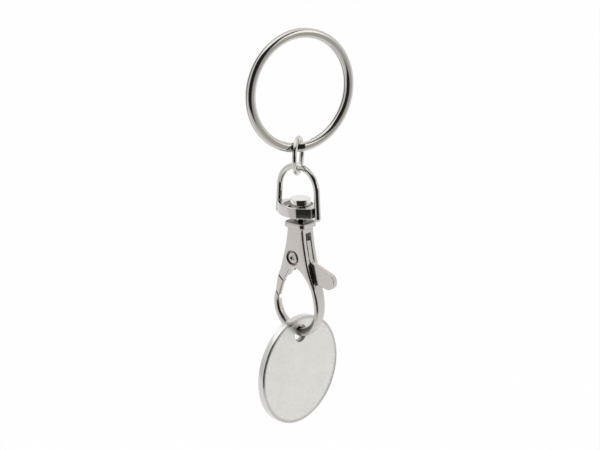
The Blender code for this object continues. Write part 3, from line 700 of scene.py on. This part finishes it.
def make_split_ring():
    """The strip's section carried twice round a circle, whose path lies half a thickness and half a gap in
    front of the middle plane and steps as far behind it by an eased share. The section turns over late in
    that step, and both ends draw in."""
    angle = np.linspace(3 * QUARTER - ring_front_end, -5 * QUARTER + ring_back_end, ring_stations)
    step = eased((-QUARTER + ring_step_start - angle) / (ring_step_start + ring_front_end))
    offset = (ring_half_thickness + ring_turn_gap / 2) * (1 - 2 * step)
    radial, front = upright_ring(ring_turn, angle)
    path = ring_mid_r * radial + offset[:, None] * front + ring_z * UP
    late = eased((step - ring_turn_over_share) / (1 - ring_turn_over_share))[:, None, None]
    section = mix(strip_section(1), strip_section(-1), late)
    full = end_rounding(path, ring_end_r, ring_end_least_share)
    grid = carried(path, radial, front, section[:, :, 0] * full, section[:, :, 1] * full)
    return dress(surface("split_ring_turns", grid), wire_nickel, "ring", "split_ring", crease=50)


def make_jump_ring():
    """A circle carried round an upright circle."""
    radial, side = upright_ring(jump_turn, full_turn(jump_stations))
    path = jump_mid_r * radial + np.array([hang_x, 0, jump_z])
    grid = round_wire(path, radial, side, jump_wire_r, wire_sides)
    ring = surface("jump_ring_wire", grid, closed_rows=True)
    return dress(ring, wire_nickel, "link", "jump_ring", crease=60)


# Bow: legs, arch and the two pins

def make_bow():
    """A circle carried along two straight legs and a half ellipse, x = half width * cos u and z = rise *
    sin u, with both ends rounded off and a short round pin joined on through each leg."""
    turn = np.linspace(0, 2 * QUARTER, bow_arch_steps)
    arch_z = bow_apex_z - bow_arch_rise
    arch = np.stack([bow_arch_x * np.cos(turn), arch_z + bow_arch_rise * np.sin(turn)], axis=1)
    line = np.concatenate([[(bow_leg_x, bow_leg_end_z)], arch, [(-bow_leg_x, bow_leg_end_z)]])
    line = spaced(round_path(spaced(line, bow_coarse_stations), bow_smoothing, 3), bow_stations)
    path = flat_to_world(line, 0.0) + np.array([hang_x, 0, 0])
    along = np.gradient(path, axis=0)
    normal = np.stack([-along[:, 2], np.zeros(len(path)), along[:, 0]], axis=1)
    normal /= np.linalg.norm(normal, axis=1, keepdims=True)
    full = end_rounding(path, bow_wire_r, bow_end_least_share)
    bow = surface("swivel_bow_wire", round_wire(path, normal, (0, 1, 0), bow_wire_r, bow_sides, full))
    for side in (-1, 1):
        reach = np.array([bar_half_length - bow_pin_length, bow_leg_x]) * side + hang_x
        pin_path = np.stack([reach, np.zeros(2), np.full(2, bow_pivot_z)], axis=1)
        pin = surface("bow_pin", round_wire(pin_path, (0, 1, 0), UP, bow_pin_r, pin_sides))
        cut_or_join(bow, pin, "UNION")
    return dress(bow, wire_nickel, "bow", "swivel_bow", crease=50)


# Bar: a lens-shaped plate on a polar grid round its bore

def make_bar():
    """Rows of (radius, height) at every angle about the bore. The outer rows' radius is the least of the
    distances to the lens's two arcs, to its square ends and to the flats, less the edge's rounding."""
    turn = full_turn(bar_stations)
    rise = bar_half_width - bar_end_half_width
    arc_r = (bar_half_length ** 2 + rise ** 2) / (2 * rise)
    centre = bar_half_width - arc_r
    lean = np.abs(np.sin(turn)) * centre
    reach = lean + np.sqrt(lean ** 2 - centre ** 2 + arc_r ** 2)
    for least, facing in ((bar_half_length, 0), (bar_facet_reach, bar_facet_turn)):
        reach = np.minimum(reach, least / np.maximum(np.abs(np.cos(turn - facing)), tiny))
    edge = np.linspace(0, QUARTER, edge_steps)
    edge_in = bar_edge_r * (1 - np.sin(edge))
    edge_down = bar_edge_r * (1 - np.cos(edge))
    circles = [
        (bar_bore_r + bar_chamfer, bar_bottom_z), (bar_bore_r, bar_bottom_z + bar_chamfer),
        (bar_bore_r, bar_dish_z - bar_chamfer), (bar_bore_r + bar_chamfer, bar_dish_z),
        (bar_dish_r - bar_chamfer, bar_dish_z), (bar_dish_r, bar_dish_z + bar_chamfer),
        (bar_dish_r, bar_top_z - bar_chamfer / 2), (bar_dish_r + bar_chamfer / 2, bar_top_z),
    ]
    rims = [*zip(edge_in, bar_top_z - edge_down), *zip(edge_in[::-1], bar_bottom_z + edge_down[::-1])]
    rows = [(np.full_like(turn, radius), np.full_like(turn, z)) for radius, z in circles]
    rows += [(reach - inset, np.full_like(turn, z)) for inset, z in rims]
    radius, height = np.array(rows).transpose(1, 0, 2)
    grid = np.stack([radius * np.cos(turn) + hang_x, radius * np.sin(turn), height], axis=2)
    bar = surface("swivel_bar_plate", grid, closed_rows=True)
    return dress(bar, bar_nickel, "bar", "swivel_bar", crease=28)


# Post with its peened head, and the square collar

def make_post():
    """The post's rounded profile turned about the swivel axis."""
    profile = round_path(post_profile[:, :2], post_profile[:, 2], 6)
    post = surface("clasp_post", turned(profile, post_sides))
    return dress(post, post_nickel, "clasp", crease=40)


def make_collar():
    """Rounded rectangles one above another, drawn in at the top edge and, by a wider curve, at the bottom."""
    turn = np.linspace(0, QUARTER, edge_steps)
    top_in, low_in = collar_top_r * (1 - np.sin(turn)), collar_neck_in * (1 - np.cos(turn))
    top_z = collar_top_z - collar_top_r * (1 - np.cos(turn))
    low_z = collar_low_z + collar_low_r * (1 - np.sin(turn))
    inset = np.concatenate([[collar_lid_in], top_in, low_in, [collar_lid_in]])
    z = np.concatenate([[collar_top_z], top_z, low_z, [collar_low_z]])
    corner = np.maximum(collar_corner_r - inset, collar_least_corner_r)
    half_width, half_depth = collar_half_width - inset, collar_half_depth - inset
    across, deep = rounded_section(half_width, half_depth, corner, collar_corner_steps)
    grid = np.stack([across, deep, np.broadcast_to(z[:, None], across.shape)], axis=2)
    collar = surface("clasp_collar", grid)
    return dress(collar, collar_nickel, "clasp", crease=40)


# Hook body

def section_rows(inner, outer, depth, forward, rounding):
    """Rounded rectangles, each from an inner to an outer outline point, with its depth along Y. Where a row
    meets an outline at a slant, its rounding is longer by one over the slant's sine, so that the rounding is
    as wide as elsewhere when measured square to the outline."""
    along = outer - inner
    width = np.linalg.norm(along, axis=1)
    along = along / width[:, None]

    def stretch(outline):
        """One over the sine of the angle between row and outline, held so that both ends' arcs fit."""
        step = np.gradient(outline, axis=0)
        slant = np.abs(step[:, 0] * along[:, 1] - step[:, 1] * along[:, 0]) / np.linalg.norm(step, axis=1)
        return np.minimum(1 / np.maximum(slant, least_slant), most_stretch_share * width / rounding)

    middle = flat_to_world((inner + outer) / 2, -forward)
    stretches = stretch(inner), stretch(outer)
    across, up = rounded_section(width / 2, depth / 2, rounding, section_corner_steps, *stretches)
    return carried(middle, flat_to_world(along, 0.0), (0, 1, 0), across, up)


def hook_sizes(place):
    """Width, depth, way forward and share of full rounding at each place, eased between the stations."""
    knots = np.array([shoulder_place, spine_place, bend_place, tip_inner_place])
    table = np.array([
        (spine_width, shoulder_depth, 0, 0),
        (spine_width, spine_depth, 0, 1),
        (bend_width, bend_depth, 0, 1),
        (tip_width, tip_depth, tip_forward, 1),
    ])
    i = np.clip(np.searchsorted(knots, place) - 1, 0, 2)
    share = eased((place - knots[i]) / (knots[i + 1] - knots[i]))[:, None]
    return mix(table[i], table[i + 1], share).T


def cheek_rows():
    """The rows from the left limb's seam over the neck to the right shoulder. How far down the side and how
    deep each row is comes from a smooth curve through its side's stations."""
    left = np.linspace(seam_inner_place - 4, -cheek_top_place, left_cheek_stations)
    middle = np.linspace(-cheek_top_place, cheek_top_place, neck_stations)[1:-1]
    right = np.linspace(cheek_top_place, shoulder_place, right_cheek_stations)[:-1]
    left_down, left_deep = (monotone(left, left_stations[:, 0], left_stations[:, i]) for i in (1, 2))
    right_down, right_deep = (monotone(right, right_stations[:, 0], right_stations[:, i]) for i in (1, 2))
    across = middle / cheek_top_place * neck_half_width
    top = np.stack([across, np.full_like(middle, neck_top_z)], axis=1)
    outer = np.concatenate([side_point(-1, left_down), top, side_point(1, right_down)])
    depth = np.concatenate([
        mix(limb_thickness, neck_depth, left_deep), np.full_like(middle, neck_depth),
        mix(shoulder_depth, neck_depth, right_deep),
    ])
    forward = np.concatenate([mix(limb_forward, 0, left_deep), 0 * middle, 0 * right])
    rounding = np.minimum(cheek_rounding, full_round_share * depth)
    inner = eye_point(np.concatenate([left, middle, right]))
    return section_rows(inner, outer, depth, forward, rounding)


def hook_rows():
    """The rows from the right shoulder round the hook's bend to its tip."""
    place = np.linspace(shoulder_place, tip_inner_place, hook_stations)
    slant = (tip_outer_place - tip_inner_place) * eased(place - bend_place)
    width, depth, forward, round_share = hook_sizes(place)
    full = full_round_share * np.minimum(width, depth)
    rounding = mix(np.minimum(cheek_rounding, full), full, round_share)
    return section_rows(eye_point(place), band_point(place + slant, width), depth, forward, rounding)


def slot_outline():
    """The slot in the XZ plane: open to the right and, below the pivot, to the left and to the eye."""
    reach = 2 * eye_half_width
    round_pivot = arc(pivot, slot_eye_r, 1.5 * QUARTER, 2 * QUARTER, slot_arc_steps)
    return np.concatenate([
        [(reach, slot_top_z), (slot_wall_x, slot_top_z), (slot_wall_x, slot_wall_z)],
        round_pivot,
        [(round_pivot[-1, 0], slot_left_z), (-reach, slot_left_z), (-reach, eye_centre[1]),
         (eye_centre[0] - eye_half_width / 2, eye_centre[1]), (eye_centre[0], slot_floor_z),
         (reach, slot_floor_z)],
    ])


def make_hook_body():
    """The cheeks' and the hook's rows as one shape, less the slot, the rivet's hole and its two seats. The
    slot's walls and its upper end are paler, as light gathers there."""
    body = surface("clasp_hook", np.concatenate([cheek_rows(), hook_rows()]))
    out = neck_depth / 2 + overrun
    hole = np.array([(0, out), (rivet_hole_r, out), (rivet_hole_r, -out), (0, -out)])
    seat = np.array([(0, rivet_seat_y), (rivet_seat_r, rivet_seat_y), (rivet_seat_r, out), (0, out)])
    cut_or_join(body, surface("slot_tool", slab(slot_outline(), slot_width)), "DIFFERENCE")
    for profile in (hole, seat * (1, -1), seat):
        tool = surface("rivet_tool", across_y(turned(profile, rivet_sides), *pivot))
        cut_or_join(body, tool, "DIFFERENCE")
    dress(body, cast_nickel, "clasp", "hook_body", crease=30)
    x, y, z = faces_of(body)[0].T
    wall = np.abs(np.abs(y) - slot_width / 2) < touch
    end = (np.abs(y) < slot_width / 2) & (x > slot_end_x[0]) & (x < slot_end_x[1]) & (z > slot_end_low_z)
    # painted light on the slot's walls and its upper end
    give(body, slot_painted_light, (wall | end) & (z > slot_pale_low_z) & (z < collar_low_z))
    return body


# Thumb lever

def lever_outline():
    """The plate's outline: tail, pivot eye, gate arm, along the eye's edge, and the paddle."""
    inset = np.array([lever_inset, 0])
    tail = side_at(1, tail_z) - inset
    tail_left_x = tail[0] - tail_width
    seam_z = side_point(-1, 1)[0, 1]
    start = seam_inner_place - 4
    place = np.linspace(start, arm_end_place, arm_stations)
    share = eased((place / start - arm_ease_share) / (1 - arm_ease_share))
    return np.concatenate([
        [tail, (tail_left_x, tail_z), (tail_left_x, tail_z - tail_length)],
        arc(pivot, lever_eye_r, *lever_eye_arc, lever_eye_steps),
        [side_at(-1, z) + inset for z in (arm_top_z, (arm_top_z + seam_z) / 2, seam_z)],
        band_point((seam_inner_place + tip_inner_place) / 2, limb_width / 2),
        band_point(place, mix(lever_inset, arm_recess, share)),
        [(side_at(1, paddle_floor_z)[0] + x, paddle_floor_z) for x in (-spine_width, paddle_lip)],
        arc(paddle_tip, paddle_tip_r, *paddle_tip_arc, paddle_tip_steps),
        [side_at(1, pivot[1] - paddle_top_drop) + inset, side_at(1, pivot[1]) - inset],
    ])


def gate_rows():
    """The gate block between its two slanted seams, as wide and deep as the band beside it."""
    def gap(place, width):
        """The seam's gap in places: the gap over the length of a small step, times that step."""
        step = band_point(place + nudge, width / 2) - band_point(place, width / 2)
        return gate_gap / np.linalg.norm(step) * nudge

    low, high = gap(tip_inner_place, tip_width), gap(seam_inner_place, limb_width)
    share = np.linspace(0, 1, gate_stations)
    inner = mix(tip_inner_place + low, seam_inner_place - high, share)
    outer = mix(tip_outer_place + low, seam_outer_place - high, share)
    width = mix(tip_width, limb_width, share)
    front = mix(tip_forward + tip_depth / 2, limb_forward + limb_thickness / 2, share)
    rounding = np.minimum(cheek_rounding, full_round_share * np.minimum(width, gate_depth))
    depth = np.full_like(share, gate_depth)
    return section_rows(eye_point(inner), band_point(outer, width), depth, front - gate_depth / 2, rounding)


def make_lever():
    """The outline's slab with rounded edges, joined to the gate block."""
    lever = surface("clasp_lever", slab(lever_outline(), lever_thickness))
    rim = lever.modifiers.new("Rim", "BEVEL")
    rim.width = lever_edge_r
    rim.segments = lever_edge_steps
    rim.limit_method = "ANGLE"
    rim.angle_limit = np.radians(40)
    settle(lever)
    cut_or_join(lever, surface("gate_tool", gate_rows()), "UNION")
    return dress(lever, cast_nickel, "lever", "thumb_lever", crease=30)


# Rivet and spring

def make_rivet():
    """A low dome with a centre dimple at each end of the shank: the rounded profile turned about Y."""
    profile = round_path(both_halves(rivet_profile), rivet_rounding, 4)
    rivet = surface("clasp_rivet", across_y(turned(profile, rivet_sides), *pivot))
    return dress(rivet, cast_nickel, "clasp", "pivot_rivet", crease=35)


def make_spring():
    """A circle carried along a coil: (x, r cos u, r sin u), with x running evenly with the turn u."""
    turn = np.linspace(0, 4 * QUARTER * spring_coils, spring_stations)
    along = np.array([1, 0, 0])
    radial = np.stack([0 * turn, np.cos(turn), np.sin(turn)], axis=1)
    x = mix(spring_start_x, side_at(1, tail_z)[0] - spring_end_drop, turn / turn[-1])
    path = x[:, None] * along + radial * spring_coil_r + spring_z * UP
    grid = round_wire(path, radial, along, spring_wire_r, spring_sides)
    spring = dress(surface("clasp_spring", grid), spring_steel, "clasp", "lever_spring", crease=60)
    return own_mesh(spring)


# Token: raised rims with a fine groove by the edge, flat fields and a hole with turned edges

def make_token():
    """The rounded profile turned about X, less the hole's tool. Its faces get their metal by place: the rim
    beyond a radius, the edge where a face leans, and a painted shade on the ledge and wall within a radius of
    the hole."""
    profile = both_halves(token_profile)
    disc = turned(round_path(profile[:, :2], profile[:, 2], 5), token_sides)
    token = surface("token_disc", across_x(disc, token_x, token_z))
    tool = across_x(turned(both_halves(token_hole_profile), token_hole_sides), token_x, token_hole_z)
    cut_or_join(token, surface("token_hole_tool", tool), "DIFFERENCE")
    dress(token, token_nickel, "token", "coin_token", crease=30)
    centre, normal = faces_of(token)
    x, y, z = (centre - np.array([token_x, 0, token_z])).T
    edge = np.abs(normal[:, 0]) < token_flat_least
    ledge = (np.hypot(y, z - (token_hole_z - token_z)) < token_hole_shade_r) & (np.abs(x) < token_hole_shade_x)
    give(token, rim_nickel, (np.hypot(y, z) > token_rim_from_r) & ~edge)
    give(token, edge_nickel, edge)
    # painted shade on the ledge and wall round the hole
    give(token, hole_painted_shade, ledge)
    return token


make_split_ring()
make_jump_ring()
make_bow()
make_bar()
make_post()
make_collar()
make_hook_body()
make_lever()
make_rivet()
make_spring()
make_token()


# Studio: a pale sweep of paper behind and under the key ring, soft lamps, and a room that is dark in front

camera_turn = 0.72
camera_pitch = 0.303
camera_away = 0.330
camera_left = 0.00007
camera_z = 0.075287 + ring_z
sensor_width = 36
focal_share = 1703.961 / 600
away = np.array([-np.sin(camera_turn), np.cos(camera_turn), 0])
rightward = np.array([np.cos(camera_turn), np.sin(camera_turn), 0])

floor_z = -0.125
floor_front = -0.06
sweep_bend_r = 0.2
sweep_bend_start = 0.30
sweep_top_z = 0.6
sweep_half_width = 0.7
paper_white_share = 0.985

# Room: its colours low and high up, the wide dark oval in front, and two patches, each with its direction,
# the shares between which it fades in, and its colour
room_low, room_high = (0.75, 0.745, 0.735, 1), (0.95, 0.95, 0.95, 1)
room_patches = (
    ((0.659, 0.752, 0.0), 0.80, 0.95, (0.90, 0.895, 0.885, 1)),
    ((0.9415, 0.2347, -0.2419), 0.92, 0.99, (0.52, 0.51, 0.49, 1)),
)
room_dark = (0.02, 0.02, 0.019, 1)
dark_turn = np.radians(-43.5)
dark_half_width = 0.75
dark_middle = 0.19
dark_half_height = 0.66
dark_softness = 0.06
lamp_target = np.array([0, 0, -0.045])


def make_sweep():
    """A flat floor, a quarter circle and a wall behind, carried sideways along the camera's right. The paper
    is matt, and nearly white to the camera and in reflections, so that it keeps a faint shadow."""
    middle = (sweep_bend_start, floor_z + sweep_bend_r)
    bend = arc(middle, sweep_bend_r, -QUARTER, 0, sweep_bend_steps)
    top = (sweep_bend_start + sweep_bend_r, sweep_top_z)
    profile = np.concatenate([[(floor_front, floor_z)], bend, [top]])
    across = np.linspace(-sweep_half_width, sweep_half_width, sweep_columns)
    grid = (
        profile[:, None, :1] * away
        + profile[:, None, 1:] * UP
        + across[None, :, None] * rightward
    )
    rows, columns = grid.shape[:2]
    index = np.arange(rows * columns).reshape(rows, columns)
    faces = np.stack([index[:-1, :-1], index[1:, :-1], index[1:, 1:], index[:-1, 1:]], axis=-1)
    mesh = bpy.data.meshes.new("paper_sweep")
    mesh.from_pydata(grid.reshape(-1, 3).tolist(), [], faces.reshape(-1, 4).tolist())
    mesh.shade_smooth()
    sweep = bpy.data.objects.new("paper_sweep", mesh)
    bpy.context.scene.collection.objects.link(sweep)
    paper = bpy.data.materials.new("paper")
    paper.use_nodes = True
    tree = paper.node_tree
    tree.nodes.clear()
    matt = add_node(tree, "ShaderNodeBsdfDiffuse", {"Color": (0.85, 0.85, 0.85, 1)})
    white = add_node(tree, "ShaderNodeEmission")
    ray = add_node(tree, "ShaderNodeLightPath").outputs
    seen = add_node(
        tree, "ShaderNodeMath", {0: ray["Is Camera Ray"], 1: ray["Is Glossy Ray"]}, operation="MAXIMUM"
    )
    share = add_node(
        tree, "ShaderNodeMath", {0: seen.outputs[0], 1: paper_white_share}, operation="MULTIPLY"
    )
    both = add_node(
        tree, "ShaderNodeMixShader", {"Fac": share.outputs[0], 1: matt.outputs[0], 2: white.outputs[0]}
    )
    add_node(tree, "ShaderNodeOutputMaterial", {"Surface": both.outputs[0]})
    mesh.materials.append(paper)


def make_room():
    """White to the camera. To everything else a pale room, dark within a wide oval in front of the key
    ring, which is where (sideways / half width)^4 + ((height - middle) / half height)^4 is below 1."""
    world = bpy.data.worlds.new("room")
    bpy.context.scene.world = world
    world.use_nodes = True
    tree = world.node_tree
    tree.nodes.clear()
    place = add_node(tree, "ShaderNodeTexCoord").outputs["Generated"]

    def along(direction):
        """How far the ray points along a direction, from -1 to 1."""
        toward = {0: place, 1: np.asarray(direction, float).tolist()}
        return add_node(tree, "ShaderNodeVectorMath", toward, operation="DOT_PRODUCT").outputs["Value"]

    def sums(operation, *values):
        """One step of arithmetic on one or two values."""
        return add_node(tree, "ShaderNodeMath", dict(enumerate(values)), operation=operation).outputs[0]

    def fourth(value):
        """|v|^4."""
        return sums("POWER", sums("ABSOLUTE", value), 4.0)

    def span(value, low, high):
        """0 below the low value, 1 above the high one, eased between."""
        limits = {"Value": value, "From Min": low, "From Max": high}
        ramp = add_node(tree, "ShaderNodeMapRange", limits, interpolation_type="SMOOTHSTEP")
        return ramp.outputs["Result"]

    def blend(factor, low, high):
        """The low colour where the factor is 0, and the high one where it is 1."""
        layer = {"Factor": factor, "A": low, "B": high}
        return add_node(tree, "ShaderNodeMix", layer, data_type="RGBA").outputs["Result"]

    front = (np.cos(dark_turn), np.sin(dark_turn), 0)
    beside = (-np.sin(dark_turn), np.cos(dark_turn), 0)
    height = along(UP)
    wide = sums("DIVIDE", along(beside), dark_half_width)
    tall = sums("DIVIDE", sums("SUBTRACT", height, dark_middle), dark_half_height)
    inside = span(
        sums("ADD", fourth(wide), fourth(tall)), (1 + dark_softness) ** 4, (1 - dark_softness) ** 4
    )
    dark = sums("MULTIPLY", inside, span(along(front), 0.0, 0.15))
    colour = blend(span(height, -0.1, 0.9), room_low, room_high)
    for direction, start, end, patch in room_patches:
        colour = blend(span(along(direction), start, end), colour, patch)
    colour = blend(dark, colour, room_dark)
    pale = add_node(tree, "ShaderNodeBackground", {"Color": colour})
    white = add_node(tree, "ShaderNodeBackground", {"Color": (1, 1, 1, 1)})
    seen = add_node(tree, "ShaderNodeLightPath").outputs["Is Camera Ray"]
    both = add_node(
        tree, "ShaderNodeMixShader", {"Fac": seen, 1: pale.outputs[0], 2: white.outputs[0]}
    )
    add_node(tree, "ShaderNodeOutputWorld", {"Surface": both.outputs[0]})


def make_lamp(name, place, size, power):
    """A square soft lamp at a place, turned towards the clasp."""
    lamp = bpy.data.lights.new(name, "AREA")
    lamp.size = size
    lamp.energy = power
    made = bpy.data.objects.new(name, lamp)
    x, y, z = lamp_target - np.array(place)
    lean = np.arccos(-z / np.linalg.norm((x, y, z)))
    made.location = place
    made.rotation_euler = (lean, 0, np.arctan2(y, x) - QUARTER)
    bpy.context.scene.collection.objects.link(made)


def make_camera():
    """The camera as fitted to the ring and the token in the photograph."""
    lens = bpy.data.cameras.new("camera")
    lens.sensor_width = sensor_width
    lens.lens = sensor_width * focal_share
    lens.clip_start = 0.01
    made = bpy.data.objects.new("camera", lens)
    made.location = camera_z * UP - camera_away * away - camera_left * rightward
    made.rotation_euler = (QUARTER - camera_pitch, 0, camera_turn)
    bpy.context.scene.collection.objects.link(made)
    bpy.context.scene.camera = made


make_sweep()
make_room()
make_lamp("top_lamp", place=(-0.15, -0.05, 0.38), size=0.42, power=0.30)
make_lamp("right_lamp", place=(0.42, 0.12, 0.10), size=0.22, power=0.12)
make_camera()
bpy.context.scene.view_settings.view_transform = "Standard"
